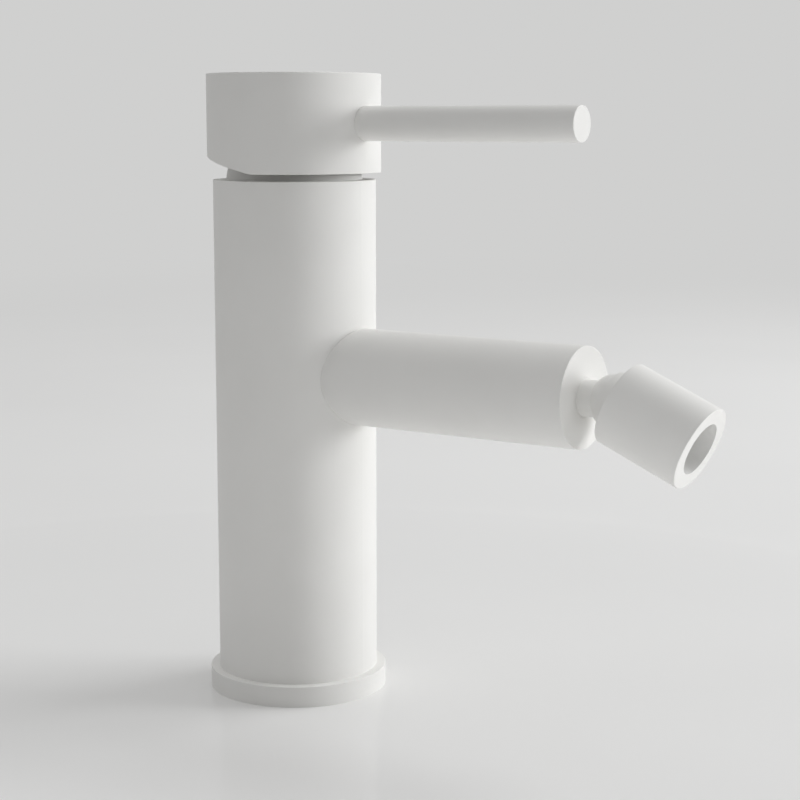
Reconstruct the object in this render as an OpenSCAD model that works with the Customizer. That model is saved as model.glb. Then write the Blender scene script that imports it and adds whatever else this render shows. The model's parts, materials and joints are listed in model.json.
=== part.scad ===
// Single lever bidet mixer with a ball-jointed nozzle, in millimetres.
// The origin is on the deck under the middle of the base ring, +X runs along the spout and +Z points up.

/* [Body] */
// Diameter of the ceramic disc cartridge
cartridge_d = 35; // [34:0.5:37]
// How much wider the ring nut's bore is than the cartridge
nut_step = 3; // [2.6:0.1:5]
// Wall left around the ring nut's bore
body_wall = 3.5; // [2.5:0.1:6]
// Height of the body above the base ring
body_h = 138; // [130:1:180]
// Radius that breaks the outer edges
edge_r = 0.2; // [0.1:0.1:0.8]

/* [Base ring] */
// How far the base ring stands out from the body
ring_overhang = 2.5; // [1.5:0.1:6]
// Height of the base ring
ring_h = 5.8; // [4:0.1:10]
// Width of the seal under the base ring
ring_seal_w = 2; // [1.4:0.1:2.4]
// Height of the seal under the base ring
ring_seal_h = 2; // [1:0.1:2.6]
// Diameter of the hollow under the body
hollow_d = 33; // [30:0.5:35]
// Height of the hollow's roof above the deck
hollow_h = 24; // [18:1:34]

/* [Spout] */
// Outer diameter of the spout
spout_d = 26.7; // [24:0.1:32]
// Wall of the spout's tube
spout_wall = 3; // [1.6:0.1:4]
// Height of the spout's axis above the deck
spout_z = 90.25; // [74:0.25:92]
// Distance from the body's axis to the spout's end face
spout_reach = 91.4; // [70:0.1:150]
// Thickness of the spout's end
spout_end = 6; // [5.5:0.1:9]
// Diameter of the spigot that sits in the body
spigot_d = 20; // [17:0.5:22]
// Depth of the spigot in the body
spigot_len = 8.5; // [6:0.1:10]
// Bore of the spigot
spigot_bore = 15; // [10:0.5:16]

/* [Nozzle] */
// Diameter of the ball
ball_d = 13.6; // [13.2:0.1:13.7]
// Diameter of the neck behind the ball
neck_d = 9.4; // [8:0.1:9.5]
// Water bore through the neck and ball
neck_bore = 5; // [3:0.1:5.6]
// Distance from the spout's end face to the ball's centre
ball_out = 8.9; // [8.4:0.1:14]
// Outer diameter of the nozzle
nozzle_d = 22.3; // [20:0.1:28]
// Length of the nozzle
nozzle_len = 23.9; // [22:0.1:32]
// Distance from the ball's centre to the nozzle's back face
nozzle_back = 1.3; // [1:0.1:2.4]
// Angle of the nozzle below the spout's axis
nozzle_tilt = 23.6; // [0:0.1:24]
// Bore of the nozzle's mouth
mouth_d = 14.1; // [14:0.1:16]
// Depth of the mouth in front of the aerator
mouth_depth = 6; // [4:0.1:6.4]
// Wall of the lip that holds the ball
lip_wall = 0.45; // [0.35:0.05:0.6]
// How far the lip reaches behind the ball's centre
lip_back = 2.1; // [1.6:0.1:2.2]
// Number of the aerator's cells across its middle
cells_across = 5; // [3:2:7]
// Wall between the aerator's cells
cell_wall = 0.4; // [0.3:0.05:0.6]

/* [Handle] */
// How far the handle stands out from the body
handle_overhang = 1.5; // [0.8:0.1:4]
// Gap between the body's top and the handle
handle_gap = 1.9; // [1.6:0.1:4]
// Height of the handle
handle_h = 26.8; // [25:0.1:40]
// Side wall of the handle
handle_wall = 3; // [2:0.1:3.4]
// Thickness of the handle's top
handle_roof = 4; // [3:0.1:6]
// Slope of the relief under the handle's back
relief_angle = 12.3; // [12:0.1:16]
// Where the relief starts in front of the axis
relief_start = 2.9; // [0:0.1:6]
// Highest lift of the lever
lift_max = 17; // [10:0.5:17]

/* [Lever] */
// Diameter of the lever
lever_d = 9.4; // [8.6:0.1:10]
// Height of the lever's axis above the handle's underside
lever_rise = 13.35; // [13:0.05:16]
// Distance from the body's axis to the lever's end
lever_reach = 89.45; // [50:0.05:140]
// Depth of the lever's seat in the handle
lever_seat = 4.5; // [3:0.1:5.5]
// Diameter of the lever's threaded tail
tail_d = 8; // [6:0.1:8.2]
// Length of the lever's threaded tail
tail_len = 6; // [4:0.1:6.2]
// Diameter of the grub screw
grub_d = 5; // [4:0.1:5.5]

/* [Cartridge] */
// Depth of the lever's pivot below the body's top
pivot_depth = 1.5; // [1.2:0.1:3]
// Length of the stem below its pivot
arm_len = 13; // [12.5:0.1:14]
// Diameter of the stem's ball tip
tip_d = 5.6; // [5:0.1:5.8]
// Diameter of the stem below its pivot
arm_d = 4.4; // [4:0.1:4.5]
// Across flats of the stem's square top
stem_af = 8; // [7:0.1:8.4]
// Length of the stem above its pivot
stem_rise = 21.7; // [20:0.1:22]
// Diameter of the pivot pin
pin_d = 3.2; // [2.6:0.1:3.6]
// Thickness of each ceramic disc
disc_h = 4; // [3.5:0.1:4.5]
// Diameter of the moving disc
moving_d = 21.4; // [20.6:0.1:22]
// Diameter of the fixed disc
fixed_d = 27; // [26:0.1:28]
// Thickness of the coupler on the moving disc
coupler_h = 5; // [4.8:0.1:5.4]
// Height of the cartridge's base
base_h = 5; // [4.5:0.1:7]
// Wall of the cartridge's housing
housing_wall = 1.8; // [1.2:0.1:2]
// Outer diameter of the housing's neck
housing_neck_d = 25; // [24:0.1:25.4]
// Diameter of the turning lever guide
guide_d = 19.9; // [19:0.1:20.5]

/* [Waterways] */
// Distance of the inlets in front of the axis
inlet_x = 4.5; // [4:0.1:5]
// Distance of the inlets to each side
inlet_y = 8; // [7.8:0.1:9]
// Bore of the threaded inlets
inlet_d = 9; // [8:0.1:10]
// Depth of the threaded inlets
inlet_depth = 12; // [8:0.5:18]
// Diameter of the inlet channels
channel_d = 5; // [4:0.1:5.4]
// Distance of the outlet behind the axis
outlet_x = 4.5; // [4:0.1:5]
// Diameter of the outlet channel
outlet_d = 6.4; // [5:0.1:6.8]
// Diameter of the cross bore to the spout
cross_d = 8.4; // [6:0.1:8.6]

/* [Fixing] */
// Diameter of the fixing stud
stud_d = 8; // [6:0.5:8]
// Length of the fixing stud
stud_len = 80; // [66:1:120]
// Depth of the stud in the body
stud_hold = 12; // [8:0.5:18]
// Distance of the stud behind the axis
stud_x = 11; // [10:0.1:11.5]
// Thickness of the deck that the mixer clamps
deck_t = 12; // [5:0.5:20]
// Diameter of the clamping shoe
shoe_d = 52; // [48:0.5:60]
// Width of the hose slot in the shoe
shoe_slot = 29; // [26:0.5:32]
// Thickness of the shoe's plate
plate_t = 3; // [2:0.1:4]
// Thickness of the shoe's gasket
gasket_t = 3; // [2:0.1:4]
// Across flats of the fixing nut
nut_af = 13; // [11:0.5:14]
// Height of the fixing nut
nut_h = 6.5; // [5:0.1:9]

/* [Fits] */
// Clearance of seated pieces
seat_gap = 0.02; // [0.01:0.01:0.03]
// Clearance of pieces that turn or slide in each other
run_gap = 0.05; // [0.03:0.01:0.08]
// Clearance of pieces that pass each other freely
free_gap = 0.3; // [0.25:0.01:0.4]
// Clearance between pieces that glide face to face
glide_gap = 0.2; // [0.1:0.01:0.3]

/* [Hidden] */
$fn = 96;
cut = 1;

body_bore = cartridge_d + nut_step;
body_d = body_bore + 2 * body_wall;
ring_d = body_d + 2 * ring_overhang;
handle_d = body_d + 2 * handle_overhang;
body_top = ring_h + body_h;
foot_inset = 2.5;
foot_d = body_d - 2 * foot_inset;
foot_z = 1;

pivot_z = body_top - pivot_depth;
tip_z = pivot_z - arm_len;
travel = arm_len * sin(lift_max);
coupler_floor = 0.8;
tip_drop = 0.4;
coupler_z = tip_z - tip_d / 2 - tip_drop - coupler_floor;
coupler_top = coupler_z + coupler_h;
coupler_d = moving_d - 0.2;
moving_z = coupler_z - disc_h;
fixed_z = moving_z - disc_h;
chamber_z = fixed_z - base_h;
chamber_d = cartridge_d + 2 * glide_gap;
rail_x = 6;
rail_y = 6.2;
rail_w = 2;
rail_h = 1.3;
peg_d = 3;
peg_h = 1.2;
peg_y = 7.2;

flange_z = coupler_top + glide_gap;
flange_t = 2.4;
flange_inset = 3;
flange_d = cartridge_d - 2 * flange_inset;
guide_rise = 4.7;
guide_top = pivot_z + guide_rise;
housing_in = cartridge_d - 2 * housing_wall;
housing_roof = flange_z + flange_t + glide_gap;
roof_t = 2.2;
shoulder_z = housing_roof + roof_t;
neck_top = guide_top + 0.5;
base_flange = 2;
seal_h = base_flange;
inlet_seal_d = channel_d + 3;
outlet_seal_d = outlet_d + 2.8;
disc_inlet_d = 4.4;
disc_inlet_y = inlet_y - 2.5;
pocket_rim = 1.8;
pocket_d = moving_d - 2 * pocket_rim;
pocket_x = inlet_x - disc_inlet_d / 2 - 1.1;
key_x = 7.5;
key_y = 9;
key_d = 3.5;
key_len = 3;

nut_seat = shoulder_z - 1;
dome_sink = 2.5;
nut_top = body_top - dome_sink;
collar_h = 2;
notch_w = 4;
dome_r = body_bore / 2 - 0.1;
dome_wall = 1.6;
dome_rise = 8.2;
dome_top = pivot_z + dome_rise;
dome_lid = 1.5;
dome_hole = housing_neck_d / 2 + 0.7;

handle_z = body_top + handle_gap;
handle_top = handle_z + handle_h;
lever_z = handle_z + lever_rise;
boss_wall = 3.35;
boss_d = stem_af * sqrt(2) + 2 * boss_wall;
boss_rise = 5.5;
boss_z = handle_z + boss_rise;
lug_wall = 2.35;
lug_d = lever_d + 2 * lug_wall;
stem_top = pivot_z + stem_rise;
seat_x = handle_d / 2 - lever_seat;
tail_x = seat_x - tail_len;
grub_len = 8.5;

lead_len = 4;
lead_d = neck_d + 0.9;
tang_d = lead_d - 2;
lead_x = spout_reach - lead_len;
wall_x = spout_reach - spout_end;
clip_t = 1;
clip_x = wall_x - clip_t - 0.15;
clip_groove = 0.6;
clip_w = 1.3;
clip_d = tang_d + 2 * clip_w;
tang_x = clip_x - 2 * clip_w;
oring_w = 1.8;
oring_x = spout_reach - 1.1 - oring_w;
oring_d = 1.28;
ball_x = spout_reach + ball_out;
socket_r = ball_d / 2 + run_gap;
lip_r = socket_r + lip_wall;
nozzle_front = nozzle_back + nozzle_len;
barrel_d = mouth_d - 0.4;
barrel_z = nozzle_back + 2.3;
barrel_top = nozzle_front - mouth_depth;
ball_seal_h = 3;
gland_z = barrel_z + ball_seal_h;
gland_h = 3;
gland_step = 2.1;
washer_z = gland_z + gland_h;
washer_h = 1.2;
washer_step = 0.7;
aerator_z = washer_z + washer_h;
aerator_top = barrel_top - glide_gap;
aerator_d = barrel_d - 2 * seat_gap;
aerator_in = aerator_d - 2;
grid_h = 2.3;
cell_pitch = aerator_in / (cells_across + 0.1);
cell_af = cell_pitch - cell_wall;
diffuser_h = 1.5;
jet_d = 1.2;
jet_inset = 1.7;

hollow_roof = hollow_h;
stud_top = hollow_roof + stud_hold;
shoe_z = -deck_t;
plate_z = shoe_z - gasket_t;
nut_z = plate_z - plate_t;
stud_to_slot = 8;
shoe_in = stud_x - stud_to_slot;
slot_r = 6;
stud_bevel = 0.8;
nut_face_d = 0.95 * nut_af;
ring_seal_r = (foot_d + ring_d) / 4 - ring_seal_w / 2;

// A solid rod along +Z with both of its edges rounded
module rod(r, h, e) {
    rotate_extrude() {
        square([r - e, h]);
        translate([0, e]) square([r, h - 2 * e]);
        translate([r - e, e]) circle(e);
        translate([r - e, h - e]) circle(e);
    }
}

// The same with a sharp lower edge
module post(r, h, e) {
    rotate_extrude() {
        square([r - e, h]);
        square([r, h - e]);
        translate([r - e, h - e]) circle(e);
    }
}

// A flat ring along +Z
module washer(r, r_in, h) {
    difference() {
        cylinder(r = r, h = h);
        translate([0, 0, -cut]) cylinder(r = r_in, h = h + 2 * cut);
    }
}

// Turns what points up to point along the spout, from a place on an axis of that height
module along_x(x, z) {
    translate([x, 0, z]) rotate([0, 90, 0]) children();
}

// Puts what is drawn along +Z from the ball's centre onto the nozzle's axis
module on_nozzle() {
    translate([ball_x, 0, spout_z]) rotate([0, 90 + nozzle_tilt, 0]) children();
}

// One copy on each side of the spout's plane
module both_sides() {
    children();
    mirror([0, 1, 0]) children();
}

module waterways() {
    both_sides() translate([inlet_x, inlet_y, 0]) {
        translate([0, 0, hollow_roof - cut]) cylinder(d = inlet_d, h = inlet_depth + cut);
        translate([0, 0, hollow_roof]) cylinder(d = channel_d, h = chamber_z - hollow_roof + cut);
    }
    translate([-outlet_x, 0, spout_z]) cylinder(d = outlet_d, h = chamber_z - spout_z + cut);
    along_x(-outlet_x - outlet_d / 2, spout_z)
        cylinder(d = cross_d, h = outlet_x + outlet_d / 2 + body_d / 2 - spigot_len);
}

module mixer_body() {
    color("WhiteSmoke")
    difference() {
        union() {
            translate([0, 0, ring_h]) post(body_d / 2, body_h, edge_r);
            translate([0, 0, foot_z]) cylinder(d = foot_d, h = ring_h - foot_z + cut);
        }
        translate([0, 0, chamber_z]) cylinder(d = chamber_d, h = body_top - chamber_z + cut);
        translate([0, 0, nut_seat]) cylinder(d = body_bore, h = body_top - nut_seat + cut);
        both_sides() translate([-key_x, key_y, chamber_z - key_len - glide_gap])
            cylinder(d = key_d + 2 * run_gap, h = key_len + glide_gap + cut);
        waterways();
        along_x(body_d / 2 - spigot_len - seat_gap, spout_z) cylinder(d = spigot_d + 2 * seat_gap, h = body_d);
        translate([0, 0, foot_z - cut]) cylinder(d = hollow_d, h = hollow_roof - foot_z + cut);
        translate([-stud_x, 0, hollow_roof - cut]) cylinder(d = stud_d + 2 * seat_gap, h = stud_hold + cut);
    }
}

module base_ring() {
    color("WhiteSmoke")
    difference() {
        post(ring_d / 2, ring_h, edge_r);
        translate([0, 0, -cut]) cylinder(d = foot_d + 2 * seat_gap, h = ring_h + 2 * cut);
        translate([0, 0, -cut]) washer(ring_seal_r + ring_seal_w, ring_seal_r, ring_seal_h + cut);
    }
}

module base_seal() {
    color("DimGray")
    washer(ring_seal_r + ring_seal_w - seat_gap, ring_seal_r + seat_gap, ring_seal_h);
}

module spout() {
    color("WhiteSmoke")
    difference() {
        union() {
            difference() {
                along_x(0, spout_z) post(spout_d / 2, spout_reach, edge_r);
                cylinder(r = body_d / 2 + seat_gap, h = 2 * spout_z);
            }
            along_x(body_d / 2 - spigot_len, spout_z) cylinder(d = spigot_d, h = spigot_len + 2 * spout_wall);
        }
        along_x(0, spout_z) cylinder(d = spigot_bore, h = wall_x);
        along_x(body_d / 2 + 2 * spout_wall, spout_z)
            cylinder(d = spout_d - 2 * spout_wall, h = wall_x - body_d / 2 - 2 * spout_wall);
        along_x(wall_x - cut, spout_z) cylinder(d = tang_d + 2 * run_gap, h = spout_end);
        along_x(lead_x, spout_z) cylinder(d = lead_d + 2 * run_gap, h = lead_len + cut);
    }
}

module cartridge_base() {
    color("Gainsboro")
    difference() {
        union() {
            translate([0, 0, chamber_z]) cylinder(d = cartridge_d, h = base_flange);
            translate([0, 0, chamber_z]) cylinder(d = housing_in - 2 * seat_gap, h = base_h + disc_h / 2);
            both_sides() translate([-key_x, key_y, chamber_z - key_len]) cylinder(d = key_d, h = key_len + cut);
        }
        translate([0, 0, fixed_z]) cylinder(d = fixed_d + 2 * seat_gap, h = disc_h);
        both_sides() {
            translate([inlet_x, disc_inlet_y, chamber_z + seal_h - 0.5]) cylinder(d = disc_inlet_d, h = base_h);
            translate([inlet_x, inlet_y, chamber_z - cut]) cylinder(d = inlet_seal_d + 2 * seat_gap, h = seal_h + cut);
        }
        translate([-outlet_x, 0, chamber_z]) cylinder(d = outlet_d, h = base_h + cut);
        translate([-outlet_x, 0, chamber_z - cut]) cylinder(d = outlet_seal_d + 2 * seat_gap, h = seal_h + cut);
    }
}

module port_seals() {
    color("DimGray") {
        both_sides() translate([inlet_x, inlet_y, chamber_z])
            washer(inlet_seal_d / 2, channel_d / 2, seal_h);
        translate([-outlet_x, 0, chamber_z]) washer(outlet_seal_d / 2, outlet_d / 2, seal_h);
    }
}

module fixed_disc() {
    color("Ivory")
    translate([0, 0, fixed_z])
    difference() {
        cylinder(d = fixed_d, h = disc_h);
        both_sides() translate([inlet_x, disc_inlet_y, -cut]) cylinder(d = disc_inlet_d, h = disc_h + 2 * cut);
        translate([-outlet_x, 0, -cut]) cylinder(d = outlet_d, h = disc_h + 2 * cut);
    }
}

module cartridge_housing() {
    color("Gainsboro")
    difference() {
        union() {
            translate([0, 0, chamber_z + base_flange])
                cylinder(d = cartridge_d, h = shoulder_z - chamber_z - base_flange);
            translate([0, 0, housing_roof]) cylinder(d = housing_neck_d, h = neck_top - housing_roof);
        }
        translate([0, 0, chamber_z]) cylinder(d = housing_in, h = housing_roof - chamber_z);
        translate([0, 0, chamber_z]) cylinder(d = guide_d + 2 * run_gap, h = neck_top - chamber_z + cut);
    }
}

module cartridge_nut() {
    color("Goldenrod")
    difference() {
        union() {
            translate([0, 0, shoulder_z]) cylinder(d = body_bore - 2 * run_gap, h = nut_top - shoulder_z);
            translate([0, 0, shoulder_z])
                cylinder(r = dome_r - dome_wall - glide_gap, h = nut_top - shoulder_z + collar_h);
        }
        translate([0, 0, shoulder_z - cut])
            cylinder(d = housing_neck_d + 2 * glide_gap, h = nut_top - shoulder_z + collar_h + 2 * cut);
        for (a = [0 : 60 : 300]) rotate([0, 0, a])
            translate([0, -notch_w / 2, nut_top]) cube([body_bore, notch_w, collar_h + cut]);
    }
}

module dome_cover() {
    color("WhiteSmoke")
    difference() {
        intersection() {
            translate([0, 0, pivot_z]) sphere(r = dome_r);
            translate([0, 0, nut_top]) cylinder(d = body_bore, h = dome_top - nut_top);
        }
        intersection() {
            translate([0, 0, pivot_z]) sphere(r = dome_r - dome_wall);
            translate([0, 0, nut_top - cut]) cylinder(d = body_bore, h = dome_top - dome_lid - nut_top + cut);
        }
        translate([0, 0, nut_top]) cylinder(r = dome_hole, h = dome_top - nut_top + cut);
    }
}

module stem_guide() {
    slot_back = (guide_top - pivot_z) * tan(lift_max) + stem_af / 2 / cos(lift_max) + free_gap;
    slot_front = travel + tip_d / 2 + free_gap;
    color("Silver")
    difference() {
        union() {
            translate([0, 0, flange_z]) cylinder(d = flange_d, h = flange_t);
            translate([0, 0, flange_z]) cylinder(d = guide_d, h = guide_top - flange_z);
        }
        translate([-slot_back, -stem_af / 2 - run_gap, flange_z - cut])
            cube([slot_back + slot_front, stem_af + 2 * run_gap, guide_top - flange_z + 2 * cut]);
        both_sides() translate([-rail_x - free_gap, rail_y - run_gap, flange_z - cut])
            cube([2 * rail_x + travel + 2 * free_gap, rail_w + 2 * run_gap, rail_h + cut]);
        translate([0, 0, pivot_z]) rotate([90, 0, 0])
            cylinder(d = pin_d + 2 * seat_gap, h = 2 * guide_d, center = true);
    }
}

module pivot_pin() {
    color("Silver")
    translate([0, 0, pivot_z]) rotate([90, 0, 0]) cylinder(d = pin_d, h = guide_d - 1, center = true);
}

module disc_coupler() {
    color("Gainsboro")
    difference() {
        union() {
            translate([0, 0, coupler_z]) cylinder(d = coupler_d, h = coupler_h);
            both_sides() translate([-rail_x, rail_y, coupler_z]) cube([2 * rail_x, rail_w, coupler_h + rail_h]);
            both_sides() translate([0, peg_y, coupler_z - peg_h]) cylinder(d = peg_d, h = peg_h + cut);
        }
        translate([0, 0, coupler_z + coupler_floor]) cylinder(d = tip_d + 2 * run_gap, h = coupler_h);
    }
}

module moving_disc() {
    color("Ivory")
    translate([0, 0, moving_z])
    difference() {
        cylinder(d = moving_d, h = disc_h);
        intersection() {
            translate([0, 0, -cut]) cylinder(d = pocket_d, h = disc_h / 2 + cut);
            translate([pocket_x - pocket_d, -pocket_d, -cut]) cube([pocket_d, 2 * pocket_d, disc_h]);
        }
        both_sides() translate([0, peg_y, disc_h - peg_h - run_gap])
            cylinder(d = peg_d + 2 * seat_gap, h = peg_h + cut);
    }
}

module stem() {
    color("Silver")
    difference() {
        union() {
            translate([0, 0, tip_z]) sphere(d = tip_d);
            translate([0, 0, tip_z]) cylinder(d = arm_d, h = arm_len);
            translate([0, 0, pivot_z]) rotate([90, 0, 0]) cylinder(d = stem_af, h = stem_af, center = true);
            translate([-stem_af / 2, -stem_af / 2, pivot_z]) cube([stem_af, stem_af, stem_rise]);
        }
        translate([0, 0, pivot_z]) rotate([90, 0, 0])
            cylinder(d = pin_d + 2 * run_gap, h = 2 * stem_af, center = true);
    }
}

module handle() {
    socket = stem_af + 2 * seat_gap;
    color("WhiteSmoke")
    difference() {
        translate([0, 0, handle_z]) rod(handle_d / 2, handle_h, edge_r);
        difference() {
            translate([0, 0, handle_z - cut]) cylinder(r = handle_d / 2 - handle_wall, h = handle_h - handle_roof + cut);
            translate([0, 0, boss_z]) cylinder(d = boss_d, h = handle_h);
            along_x(0, lever_z) cylinder(d = lug_d, h = handle_d);
        }
        translate([-socket / 2, -socket / 2, boss_z - cut]) cube([socket, socket, stem_top - boss_z + cut + glide_gap]);
        along_x(0, lever_z) cylinder(d = grub_d + 2 * seat_gap, h = seat_x);
        along_x(tail_x - glide_gap, lever_z) cylinder(d = tail_d + 2 * seat_gap, h = handle_d);
        along_x(seat_x, lever_z) cylinder(d = lever_d + 2 * seat_gap, h = handle_d);
        translate([relief_start, 0, handle_z]) rotate([0, relief_angle, 0])
            translate([-2 * handle_d, -handle_d, -handle_d]) cube([2 * handle_d, 2 * handle_d, handle_d]);
    }
}

module lever() {
    color("WhiteSmoke") {
        along_x(seat_x, lever_z) post(lever_d / 2, lever_reach - seat_x, edge_r);
        along_x(tail_x, lever_z) cylinder(d = tail_d, h = tail_len + cut);
    }
}

module grub_screw() {
    color("DarkGray")
    along_x(stem_af / 2, lever_z)
    difference() {
        cylinder(d = grub_d, h = grub_len);
        translate([0, 0, grub_len - grub_d / 2]) cylinder(d = grub_d * 0.58, h = grub_d, $fn = 6);
    }
}

module ball_stem() {
    color("WhiteSmoke")
    difference() {
        union() {
            along_x(tang_x, spout_z) cylinder(d = tang_d, h = ball_x - tang_x);
            along_x(lead_x, spout_z) cylinder(d = lead_d, h = lead_len);
            along_x(lead_x, spout_z) cylinder(d = neck_d, h = ball_x - lead_x);
            along_x(ball_x, spout_z) sphere(d = ball_d);
        }
        along_x(tang_x - cut, spout_z) cylinder(d = neck_bore, h = ball_x - tang_x + ball_d);
        along_x(oring_x, spout_z) washer(lead_d, lead_d / 2 + run_gap - oring_d - seat_gap, oring_w);
        along_x(clip_x - seat_gap, spout_z) washer(tang_d, tang_d / 2 - clip_groove, clip_t + 2 * seat_gap);
    }
}

module stem_oring() {
    color("DimGray")
    along_x(oring_x + oring_w / 2, spout_z)
        rotate_extrude() translate([lead_d / 2 + run_gap - oring_d / 2 - seat_gap / 2, 0]) circle(d = oring_d);
}

module stem_circlip() {
    color("DarkGray")
    along_x(clip_x, spout_z)
    difference() {
        washer(clip_d / 2, tang_d / 2 - clip_groove + seat_gap, clip_t);
        translate([0, -clip_w, -cut]) cube([clip_d, 2 * clip_w, clip_t + 2 * cut]);
    }
}

module ball_seal() {
    color("DimGray")
    on_nozzle()
    difference() {
        translate([0, 0, barrel_z]) washer(barrel_d / 2 - run_gap, neck_bore / 2 + 1, ball_seal_h);
        sphere(r = socket_r);
    }
}

module nozzle_shell() {
    color("WhiteSmoke")
    on_nozzle()
    difference() {
        union() {
            translate([0, 0, nozzle_back]) rod(nozzle_d / 2, nozzle_len, edge_r);
            intersection() {
                sphere(r = lip_r);
                translate([0, 0, -lip_back]) cylinder(r = lip_r, h = lip_back + barrel_z);
            }
        }
        sphere(r = socket_r);
        translate([0, 0, barrel_z]) cylinder(d = barrel_d, h = nozzle_len);
        translate([0, 0, barrel_top]) cylinder(d = mouth_d, h = mouth_depth + cut);
    }
}

module seal_gland() {
    color("Goldenrod")
    on_nozzle() translate([0, 0, gland_z])
    difference() {
        cylinder(d = aerator_d, h = gland_h);
        translate([0, 0, -cut]) cylinder(d = neck_bore + 2 * gland_step, h = gland_h + 2 * cut, $fn = 6);
    }
}

module aerator_washer() {
    color("DimGray")
    on_nozzle() translate([0, 0, washer_z]) washer(aerator_d / 2, aerator_in / 2 - washer_step, washer_h);
}

module aerator_sleeve() {
    color("Gainsboro")
    on_nozzle() translate([0, 0, aerator_z]) washer(aerator_d / 2, aerator_in / 2, aerator_top - aerator_z);
}

module aerator_diffuser() {
    color("Gainsboro")
    on_nozzle() translate([0, 0, aerator_z])
    difference() {
        cylinder(d = aerator_in - 2 * seat_gap, h = diffuser_h);
        for (a = [0 : 30 : 330]) rotate([0, 0, a])
            translate([aerator_in / 2 - jet_inset, 0, -cut]) cylinder(d = jet_d, h = diffuser_h + 2 * cut);
    }
}

module aerator_grid() {
    row = cell_pitch * sqrt(3) / 2;
    reach = (cells_across - 1) / 2;
    color("Gainsboro")
    on_nozzle() translate([0, 0, aerator_top - grid_h])
    difference() {
        cylinder(d = aerator_in - 2 * seat_gap, h = grid_h);
        for (j = [-reach : reach], i = [-reach : reach])
            if (abs(i + j) <= reach)
                translate([(i + j / 2) * cell_pitch, j * row, -cut]) rotate([0, 0, 30])
                    cylinder(d = cell_af / cos(30), h = grid_h + 2 * cut, $fn = 6);
    }
}

module fixing_stud() {
    color("Silver")
    translate([-stud_x, 0, stud_top - stud_len])
    rotate_extrude() polygon([
        [0, 0], [stud_d / 2 - stud_bevel, 0], [stud_d / 2, stud_bevel],
        [stud_d / 2, stud_len - stud_bevel], [stud_d / 2 - stud_bevel, stud_len], [0, stud_len]
    ]);
}

// Outline of the horseshoe that clamps the deck from below
module shoe_outline() {
    difference() {
        circle(d = shoe_d);
        translate([slot_r - shoe_in, -shoe_slot / 2]) square([shoe_d, shoe_slot]);
        translate([-shoe_in, slot_r - shoe_slot / 2]) square([shoe_d, shoe_slot - 2 * slot_r]);
        for (s = [-1, 1]) translate([slot_r - shoe_in, s * (shoe_slot / 2 - slot_r)]) circle(r = slot_r);
        translate([-stud_x, 0]) circle(d = stud_d + 2 * free_gap);
    }
}

module shoe_gasket() {
    color("DimGray")
    translate([0, 0, plate_z]) linear_extrude(height = gasket_t) shoe_outline();
}

module shoe_plate() {
    color("Silver")
    translate([0, 0, nut_z]) linear_extrude(height = plate_t) shoe_outline();
}

module fixing_nut() {
    color("Silver")
    translate([-stud_x, 0, nut_z - nut_h])
    difference() {
        intersection() {
            cylinder(d = nut_af / cos(30), h = nut_h, $fn = 6);
            cylinder(d1 = nut_face_d, d2 = nut_face_d + 2 * nut_h / tan(30), h = nut_h);
            cylinder(d1 = nut_face_d + 2 * nut_h / tan(30), d2 = nut_face_d, h = nut_h);
        }
        translate([0, 0, -cut]) cylinder(d = stud_d + 2 * seat_gap, h = nut_h + 2 * cut);
    }
}

mixer_body();
base_ring();
base_seal();
spout();
cartridge_base();
port_seals();
fixed_disc();
cartridge_housing();
cartridge_nut();
dome_cover();
stem_guide();
pivot_pin();
disc_coupler();
moving_disc();
stem();
handle();
lever();
grub_screw();
ball_stem();
stem_oring();
stem_circlip();
ball_seal();
nozzle_shell();
seal_gland();
aerator_washer();
aerator_sleeve();
aerator_diffuser();
aerator_grid();
fixing_stud();
shoe_gasket();
shoe_plate();
fixing_nut();
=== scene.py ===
import json
import math
import bpy
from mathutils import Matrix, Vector


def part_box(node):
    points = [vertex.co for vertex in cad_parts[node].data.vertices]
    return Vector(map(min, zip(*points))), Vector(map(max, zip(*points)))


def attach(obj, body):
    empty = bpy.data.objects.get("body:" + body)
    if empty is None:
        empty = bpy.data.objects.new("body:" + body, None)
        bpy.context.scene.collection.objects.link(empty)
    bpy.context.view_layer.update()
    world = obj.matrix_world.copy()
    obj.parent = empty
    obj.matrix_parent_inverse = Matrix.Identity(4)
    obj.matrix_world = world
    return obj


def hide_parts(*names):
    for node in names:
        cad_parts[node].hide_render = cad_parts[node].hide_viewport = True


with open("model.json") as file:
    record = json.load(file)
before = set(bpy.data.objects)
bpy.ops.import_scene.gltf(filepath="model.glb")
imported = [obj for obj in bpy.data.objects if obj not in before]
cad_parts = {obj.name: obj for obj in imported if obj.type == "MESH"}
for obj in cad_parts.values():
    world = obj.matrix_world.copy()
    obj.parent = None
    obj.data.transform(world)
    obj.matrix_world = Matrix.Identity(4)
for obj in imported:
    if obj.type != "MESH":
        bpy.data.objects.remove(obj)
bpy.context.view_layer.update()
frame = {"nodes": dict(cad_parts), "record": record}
cadNodes = frame["nodes"]
scene = bpy.context.scene
scene.view_settings.view_transform = "Standard"


# small helpers for node trees
def addNode(tree, kind, x, y, values=None, **settings):
    node = tree.nodes.new(kind)
    node.location = (x, y)
    for key, value in settings.items():
        setattr(node, key, value)
    for key, value in (values or {}).items():
        node.inputs[key].default_value = value
    return node


def wire(tree, *pairs):
    for source, target in pairs:
        tree.links.new(source, target)


def freshMaterial(name):
    material = bpy.data.materials.new(name)
    material.use_nodes = True
    tree = material.node_tree
    tree.nodes.clear()
    output = addNode(tree, "ShaderNodeOutputMaterial", 900, 0)
    shader = addNode(tree, "ShaderNodeBsdfPrincipled", 600, 0)
    coords = addNode(tree, "ShaderNodeTexCoord", -900, 0)
    wire(tree, (shader.outputs["BSDF"], output.inputs["Surface"]))
    return material, tree, shader, coords.outputs["Object"]


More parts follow.
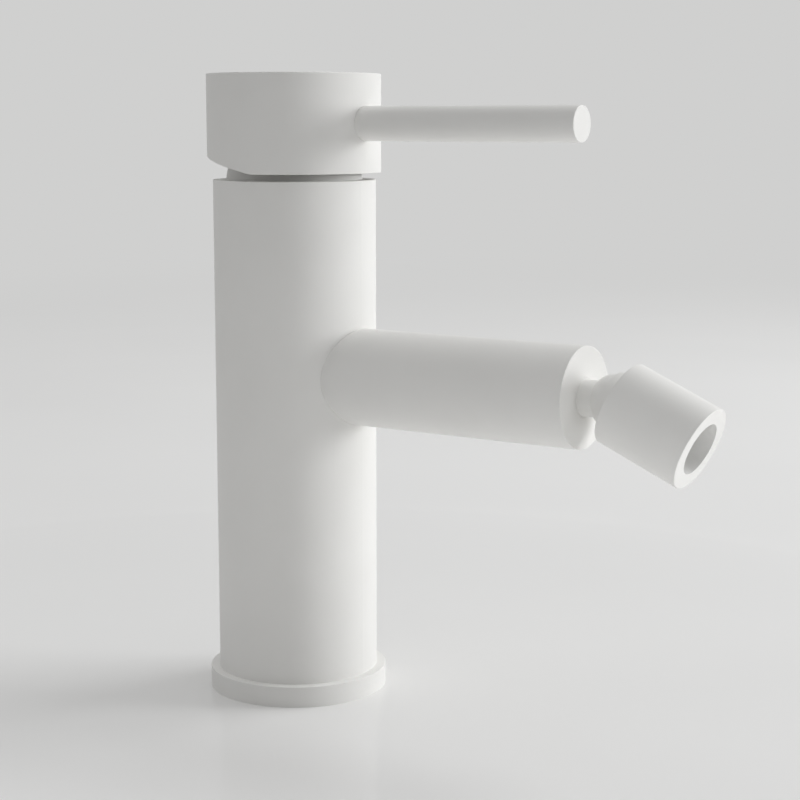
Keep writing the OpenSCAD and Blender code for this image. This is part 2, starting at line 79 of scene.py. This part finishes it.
# noise on stretched Object coordinates, scales are counts per metre along x, y and z
def noiseOn(tree, vector, scale, x, y, detail=2.0, rough=0.5):
    mapping = addNode(tree, "ShaderNodeMapping", x - 200, y, {"Scale": scale})
    noise = addNode(tree, "ShaderNodeTexNoise", x, y, {"Scale": 1.0, "Detail": detail, "Roughness": rough})
    wire(tree, (vector, mapping.inputs["Vector"]), (mapping.outputs["Vector"], noise.inputs["Vector"]))
    return noise.outputs["Fac"]


def between(tree, factor, low, high, x, y, start=0.3, end=0.7):
    spread = addNode(tree, "ShaderNodeMapRange", x, y,
                     {"From Min": start, "From Max": end, "To Min": low, "To Max": high})
    wire(tree, (factor, spread.inputs["Value"]))
    return spread.outputs["Result"]


# sockets 6 and 7 of a Mix node are its two colours
def blendColours(tree, factor, first, second, x, y):
    mix = addNode(tree, "ShaderNodeMix", x, y, data_type="RGBA")
    mix.inputs[6].default_value = (*first, 1.0)
    mix.inputs[7].default_value = (*second, 1.0)
    wire(tree, (factor, mix.inputs[0]))
    return mix.outputs[2]


def grainBump(tree, shader, height, depth, strength, x, y):
    bump = addNode(tree, "ShaderNodeBump", x, y, {"Strength": strength, "Distance": depth})
    wire(tree, (height, bump.inputs["Height"]), (bump.outputs["Normal"], shader.inputs["Normal"]))


# matte white powder coat on the outer metal
powderCoat = {
    "pale": (0.874, 0.868, 0.848),
    "shade": (0.844, 0.838, 0.817),
    "patches": 38.0,       # per metre
    "speckle": 460.0,
    "peel": 1150.0,        # orange peel, per metre
    "peelDepth": 0.000016,
    "peelStrength": 0.5,
    "gloss": (0.50, 0.60),
    "specular": 0.38,
}


def makePowderCoat(look):
    material, tree, shader, coords = freshMaterial("powderCoatWhite")
    patch = noiseOn(tree, coords, [look["patches"]] * 3, -400, 300, 3.0)
    tone = between(tree, patch, 0.0, 1.0, -150, 300)
    colour = blendColours(tree, tone, look["pale"], look["shade"], 150, 300)
    speckle = noiseOn(tree, coords, [look["speckle"]] * 3, -400, 0, 2.0)
    roughness = between(tree, speckle, look["gloss"][0], look["gloss"][1], -150, 0)
    peel = noiseOn(tree, coords, [look["peel"]] * 3, -400, -300, 1.5, 0.4)
    wire(tree, (colour, shader.inputs["Base Color"]), (roughness, shader.inputs["Roughness"]))
    grainBump(tree, shader, peel, look["peelDepth"], look["peelStrength"], 150, -300)
    shader.inputs["Specular IOR Level"].default_value = look["specular"]
    return material


# machined brass of the ring nut and the seal gland
turnedBrass = {
    "bright": (0.80, 0.62, 0.30),
    "dull": (0.62, 0.45, 0.20),
    "tarnish": 120.0,
    "lines": 5200.0,
    "alongLines": 60.0,
    "lineDepth": 0.000006,
    "lineStrength": 0.4,
    "gloss": (0.24, 0.42),
}

# zinc plated and turned steel of the stud, nut, plate, stem and guide
turnedSteel = {
    "bright": (0.66, 0.67, 0.68),
    "dull": (0.50, 0.51, 0.53),
    "tarnish": 90.0,
    "lines": 4600.0,
    "alongLines": 60.0,
    "lineDepth": 0.000005,
    "lineStrength": 0.4,
    "gloss": (0.26, 0.44),
}


def makeTurnedMetal(name, look):
    material, tree, shader, coords = freshMaterial(name)
    bloom = noiseOn(tree, coords, [look["tarnish"]] * 3, -400, 300, 4.0)
    tone = between(tree, bloom, 0.0, 1.0, -150, 300)
    colour = blendColours(tree, tone, look["bright"], look["dull"], 150, 300)
    marks = (look["alongLines"], look["alongLines"], look["lines"])   # tool marks lie across z
    lines = noiseOn(tree, coords, marks, -400, -300, 1.0)
    roughness = between(tree, lines, look["gloss"][0], look["gloss"][1], -150, 0)
    wire(tree, (colour, shader.inputs["Base Color"]), (roughness, shader.inputs["Roughness"]))
    grainBump(tree, shader, lines, look["lineDepth"], look["lineStrength"], 150, -300)
    shader.inputs["Metallic"].default_value = 1.0
    return material


# black seal rubber with a little bloom
sealRubber = {
    "base": (0.022, 0.022, 0.024),
    "bloom": (0.060, 0.060, 0.063),
    "patches": 260.0,
    "grain": 3800.0,
    "grainDepth": 0.000020,
    "grainStrength": 0.5,
    "gloss": (0.58, 0.78),
}

# moulded cartridge and aerator plastic
mouldedPlastic = {
    "base": (0.70, 0.71, 0.72),
    "bloom": (0.64, 0.65, 0.665),
    "patches": 150.0,
    "grain": 2600.0,
    "grainDepth": 0.000010,
    "grainStrength": 0.5,
    "gloss": (0.34, 0.50),
}

# lapped alumina of the two discs
lappedCeramic = {
    "base": (0.86, 0.85, 0.82),
    "bloom": (0.79, 0.775, 0.735),
    "patches": 900.0,
    "grain": 5200.0,
    "grainDepth": 0.000003,
    "grainStrength": 0.5,
    "gloss": (0.12, 0.22),
}


def makeMoulded(name, look):
    material, tree, shader, coords = freshMaterial(name)
    patch = noiseOn(tree, coords, [look["patches"]] * 3, -400, 300, 4.0)
    tone = between(tree, patch, 0.0, 1.0, -150, 300)
    colour = blendColours(tree, tone, look["base"], look["bloom"], 150, 300)
    grain = noiseOn(tree, coords, [look["grain"]] * 3, -400, -300, 2.0)
    roughness = between(tree, grain, look["gloss"][0], look["gloss"][1], -150, 0)
    wire(tree, (colour, shader.inputs["Base Color"]), (roughness, shader.inputs["Roughness"]))
    grainBump(tree, shader, grain, look["grainDepth"], look["grainStrength"], 150, -300)
    return material


finishes = {
    "white_finish": makePowderCoat(powderCoat),
    "brass": makeTurnedMetal("turnedBrass", turnedBrass),
    "steel": makeTurnedMetal("turnedSteel", turnedSteel),
    "seal_rubber": makeMoulded("sealRubber", sealRubber),
    "cartridge_plastic": makeMoulded("mouldedPlastic", mouldedPlastic),
    "disc_ceramic": makeMoulded("lappedCeramic", lappedCeramic),
}
for part in frame["record"]["subparts"]:
    cadNodes[part["node"]].material_slots[0].material = finishes[part["material_slot"]]


# screw thread on the fixing stud: a tube whose radius follows the helix
studThread = {
    "pitch": 0.00125,
    "depth": 0.00062,
    "bevel": 0.0008,
    "sides": 44,
    "rowsPerTurn": 9,
    "flank": (0.06, 0.42),     # share of a half turn where the flank starts and ends
    "smoothBelow": 28.0,       # degrees between faces
}


def threadTree(look, material):
    tree = bpy.data.node_groups.new("studThread", "GeometryNodeTree")
    face = tree.interface
    for label in ("Radius", "Pitch", "Depth", "Bevel", "Length"):
        face.new_socket(label, in_out="INPUT", socket_type="NodeSocketFloat")
    for label in ("Sides", "Rows"):
        face.new_socket(label, in_out="INPUT", socket_type="NodeSocketInt")
    face.new_socket("Foot", in_out="INPUT", socket_type="NodeSocketVector")
    face.new_socket("Mesh", in_out="OUTPUT", socket_type="NodeSocketGeometry")
    asked = addNode(tree, "NodeGroupInput", -1400, 0).outputs

    def calc(operation, first, second, x, y, third=None):
        node = addNode(tree, "ShaderNodeMath", x, y, operation=operation)
        for slot, value in zip(node.inputs, (first, second, third)):
            if value is None:
                continue
            if isinstance(value, (int, float)):
                slot.default_value = value
            else:
                wire(tree, (value, slot))
        return node.outputs[0]

    tube = addNode(tree, "GeometryNodeMeshCylinder", -1100, 300)
    wire(tree, (asked["Sides"], tube.inputs["Vertices"]), (asked["Rows"], tube.inputs["Side Segments"]),
         (asked["Radius"], tube.inputs["Radius"]), (asked["Length"], tube.inputs["Depth"]))
    place = addNode(tree, "GeometryNodeInputPosition", -1100, -200)
    parts = addNode(tree, "ShaderNodeSeparateXYZ", -950, -200)
    wire(tree, (place.outputs[0], parts.inputs[0]))
    x, y, z = parts.outputs
    turn = calc("DIVIDE", calc("ARCTAN2", y, x, -800, -100), 2 * math.pi, -650, -100)
    climb = calc("SUBTRACT", calc("DIVIDE", z, asked["Pitch"], -800, -300), turn, -500, -200)
    ridge = calc("PINGPONG", climb, 0.5, -350, -200)                       # 0 to 0.5 and back in each turn
    flank = between(tree, ridge, 0.0, 1.0, -200, -200, *look["flank"])
    root = calc("SUBTRACT", asked["Radius"], asked["Depth"], -350, -400)
    cutTo = calc("MULTIPLY_ADD", flank, asked["Depth"], -50, -200, root)
    half = calc("MULTIPLY", asked["Length"], 0.5, -800, -500)
    toEnd = calc("SUBTRACT", half, calc("ABSOLUTE", z, None, -650, -550), -500, -500)
    endRadius = calc("ADD", calc("SUBTRACT", asked["Radius"], asked["Bevel"], -350, -550), toEnd, -200, -500)
    radius = calc("MINIMUM", cutTo, endRadius, 100, -300)
    scale = calc("DIVIDE", radius, asked["Radius"], 250, -300)
    moved = addNode(tree, "ShaderNodeCombineXYZ", 550, -300)
    wire(tree, (calc("MULTIPLY", x, scale, 400, -200), moved.inputs[0]),
         (calc("MULTIPLY", y, scale, 400, -400), moved.inputs[1]), (z, moved.inputs[2]))
    shape = addNode(tree, "GeometryNodeSetPosition", 700, 200)
    lift = addNode(tree, "GeometryNodeTransform", 850, 200)
    angle = addNode(tree, "GeometryNodeInputMeshEdgeAngle", 700, -100)
    gentle = addNode(tree, "FunctionNodeCompare", 850, -100, {"B": math.radians(look["smoothBelow"])},
                     operation="LESS_THAN")
    smooth = addNode(tree, "GeometryNodeSetShadeSmooth", 1000, 200, domain="EDGE")
    solid = addNode(tree, "GeometryNodeRealizeInstances", 1150, 200)
    paint = addNode(tree, "GeometryNodeSetMaterial", 1300, 200, {"Material": material})
    done = addNode(tree, "NodeGroupOutput", 1450, 200)
    wire(tree, (tube.outputs["Mesh"], shape.inputs["Geometry"]), (moved.outputs[0], shape.inputs["Position"]),
         (shape.outputs[0], lift.inputs["Geometry"]), (asked["Foot"], lift.inputs["Translation"]),
         (angle.outputs["Unsigned Angle"], gentle.inputs["A"]), (lift.outputs[0], smooth.inputs[0]),
         (gentle.outputs[0], smooth.inputs["Shade Smooth"]), (smooth.outputs[0], solid.inputs[0]),
         (solid.outputs[0], paint.inputs["Geometry"]), (paint.outputs[0], done.inputs["Mesh"]))
    return tree


def makeStud(look):
    low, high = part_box("fixing_stud")
    length = high.z - low.z
    radius = (high.x - low.x) / 2
    tree = threadTree(look, finishes["steel"])
    host = bpy.data.objects.new("studHost", bpy.data.meshes.new("studHost"))
    scene.collection.objects.link(host)
    modifier = host.modifiers.new("thread", "NODES")
    modifier.node_group = tree
    wanted = {
        "Radius": radius, "Pitch": look["pitch"], "Depth": look["depth"], "Bevel": look["bevel"],
        "Length": length, "Sides": look["sides"], "Rows": round(length / look["pitch"] * look["rowsPerTurn"]),
        "Foot": ((low.x + high.x) / 2, (low.y + high.y) / 2, (low.z + high.z) / 2),
    }
    for item in tree.interface.items_tree:
        if item.in_out == "INPUT":
            modifier[item.identifier] = wanted[item.name]
    ready = host.evaluated_get(bpy.context.evaluated_depsgraph_get())
    mesh = bpy.data.meshes.new_from_object(ready)
    mesh.name = "threadedStud"
    bpy.data.objects.remove(host)
    stud = bpy.data.objects.new("threadedStud", mesh)
    scene.collection.objects.link(stud)
    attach(stud, "fixed")
    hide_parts("fixing_stud")
    print("stud thread:", len(mesh.polygons), "faces")


makeStud(studThread)


backdrop = (0.63, 0.63, 0.625)   # pale grey behind the mixer

# glossy white deck under the base ring, which runs out into the backdrop
deck = {
    "radius": 4.0,
    "sides": 96,
    "fade": (0.45, 1.6),        # the backdrop takes over between these distances from the mixer
    "pale": (0.880, 0.877, 0.869),
    "shade": (0.860, 0.857, 0.849),
    "patches": 5.0,
    "roughness": 0.06,
    "shine": (0.14, 0.0),
    "polished": (0.06, 0.24),   # the shine fades out between these
    "bounce": (0.14, 0.60),     # the light thrown back on the mixer drops between these
    "lost": 0.5,
}


def makeDeck(look):
    material, tree, shader, coords = freshMaterial("glossyDeck")
    patch = noiseOn(tree, coords, [look["patches"]] * 3, -400, 300, 2.0)
    tone = between(tree, patch, 0.0, 1.0, -150, 300)
    colour = blendColours(tree, tone, look["pale"], look["shade"], 150, 300)
    shader.inputs["Roughness"].default_value = look["roughness"]
    reach = addNode(tree, "ShaderNodeVectorMath", -150, -200, operation="LENGTH")
    gloss = between(tree, reach.outputs["Value"], *look["shine"], 250, 0, *look["polished"])
    gloss.node.interpolation_type = "SMOOTHSTEP"
    path = addNode(tree, "ShaderNodeLightPath", -150, -500)
    lost = between(tree, reach.outputs["Value"], 0.0, look["lost"], 250, 600, *look["bounce"])
    dim = addNode(tree, "ShaderNodeMath", 400, 600, operation="MULTIPLY")
    wire(tree, (lost, dim.inputs[0]), (path.outputs["Is Diffuse Ray"], dim.inputs[1]))
    narrow = addNode(tree, "ShaderNodeMix", 550, 400, {7: (0.0, 0.0, 0.0, 1.0)}, data_type="RGBA")
    wire(tree, (dim.outputs[0], narrow.inputs[0]), (colour, narrow.inputs[6]),
         (narrow.outputs[2], shader.inputs["Base Color"]), (gloss, shader.inputs["Specular IOR Level"]))
    far = addNode(tree, "ShaderNodeMapRange", 50, -200,
                  {"From Min": look["fade"][0], "From Max": look["fade"][1]}, interpolation_type="SMOOTHSTEP")
    seen = addNode(tree, "ShaderNodeMath", 50, -500, operation="MAXIMUM")
    show = addNode(tree, "ShaderNodeMath", 250, -300, operation="MULTIPLY")
    plain = addNode(tree, "ShaderNodeEmission", 600, -500, {"Color": (*backdrop, 1.0), "Strength": 1.0})
    join = addNode(tree, "ShaderNodeMixShader", 850, -200)
    output = next(node for node in tree.nodes if node.type == "OUTPUT_MATERIAL")
    output.location = (1050, 0)
    wire(tree, (coords, reach.inputs[0]), (reach.outputs["Value"], far.inputs["Value"]),
         (path.outputs["Is Camera Ray"], seen.inputs[0]), (path.outputs["Is Glossy Ray"], seen.inputs[1]),
         (far.outputs["Result"], show.inputs[0]), (seen.outputs[0], show.inputs[1]),
         (show.outputs[0], join.inputs[0]), (shader.outputs[0], join.inputs[1]),
         (plain.outputs[0], join.inputs[2]), (join.outputs[0], output.inputs["Surface"]))
    turns = [2 * math.pi * i / look["sides"] for i in range(look["sides"])]
    ring = [(look["radius"] * math.cos(turn), look["radius"] * math.sin(turn), 0.0) for turn in turns]
    mesh = bpy.data.meshes.new("deck")
    mesh.from_pydata(ring, [], [tuple(range(look["sides"]))])
    mesh.materials.append(material)
    top = bpy.data.objects.new("deck", mesh)
    scene.collection.objects.link(top)


makeDeck(deck)


# soft studio light: two broad lamps from the right, a faint one from the left,
# two cards on the deck and fill from above
studio = {
    "lamps": {             # place, aim, size and power
        "sideLamp": ((1.618, 1.161, 0.413), (0.02, 0.0, 0.10), 0.8, 20.8),
        "highLamp": ((0.689, 1.159, 1.586), (0.02, 0.0, 0.10), 0.8, 8.2),
        "wallGlow": ((-1.674, -0.978, 0.516), (0.02, 0.0, 0.10), 0.8, 2.0),
        "frontCard": ((0.13, -0.18, 0.004), (0.13, -0.18, 1.0), 0.2, 0.055),
        "rightCard": ((0.28, -0.05, 0.004), (0.28, -0.05, 1.0), 0.2, 0.096),
    },
    "tint": (0.982, 0.991, 1.0),
    "fillLow": 0.01,
    "fillHigh": 0.81,
}


def makeLight(look):
    for name, (place, aim, size, power) in look["lamps"].items():
        glow = bpy.data.lights.new(name, "AREA")
        glow.shape = "DISK"
        glow.size = size
        glow.energy = power
        glow.color = look["tint"]
        lamp = bpy.data.objects.new(name, glow)
        lamp.location = place
        lamp.rotation_euler = (Vector(aim) - Vector(place)).to_track_quat("-Z", "Y").to_euler()
        lamp.visible_camera = False
        lamp.visible_glossy = False    # no lamp mirrored in the deck
        scene.collection.objects.link(lamp)
    world = bpy.data.worlds.new("studio")
    world.use_nodes = True
    tree = world.node_tree
    tree.nodes.clear()
    output = addNode(tree, "ShaderNodeOutputWorld", 700, 0)
    coords = addNode(tree, "ShaderNodeTexCoord", -700, 0)
    parts = addNode(tree, "ShaderNodeSeparateXYZ", -500, 0)
    wire(tree, (coords.outputs["Generated"], parts.inputs[0]))
    level = between(tree, parts.outputs["Z"], look["fillLow"], look["fillHigh"], -300, 0, 0.0, 1.0)
    fill = addNode(tree, "ShaderNodeBackground", 200, 100, {"Color": (1.0, 1.0, 1.0, 1.0)})
    shown = addNode(tree, "ShaderNodeBackground", 200, -100, {"Color": (*backdrop, 1.0), "Strength": 1.0})
    path = addNode(tree, "ShaderNodeLightPath", -300, 400)
    seen = addNode(tree, "ShaderNodeMath", 0, 400, operation="ADD")
    seenToo = addNode(tree, "ShaderNodeMath", 200, 400, operation="ADD", use_clamp=True)
    pick = addNode(tree, "ShaderNodeMixShader", 500, 0)
    wire(tree, (level, fill.inputs["Strength"]), (path.outputs["Is Camera Ray"], seen.inputs[0]),
         (path.outputs["Is Glossy Ray"], seen.inputs[1]), (seen.outputs[0], seenToo.inputs[0]),
         (path.outputs["Is Transmission Ray"], seenToo.inputs[1]), (seenToo.outputs[0], pick.inputs[0]),
         (fill.outputs[0], pick.inputs[1]), (shown.outputs[0], pick.inputs[2]),
         (pick.outputs[0], output.inputs["Surface"]))
    scene.world = world


makeLight(studio)


# the photograph's viewpoint
viewpoint = {
    "place": (0.303892, -0.405229, 0.159848),
    "look": (-0.54638, 0.82357, -0.15233),
    "lens": 81.6,
    "sensor": 36.0,
    "clip": (0.01, 20.0),
}


def makeCamera(look):
    eye = bpy.data.cameras.new("camera")
    eye.lens = look["lens"]
    eye.sensor_width = look["sensor"]
    eye.clip_start, eye.clip_end = look["clip"]
    camera = bpy.data.objects.new("camera", eye)
    camera.location = look["place"]
    camera.rotation_euler = Vector(look["look"]).to_track_quat("-Z", "Y").to_euler()
    scene.collection.objects.link(camera)
    scene.camera = camera


makeCamera(viewpoint)
print("deck, light and camera set")
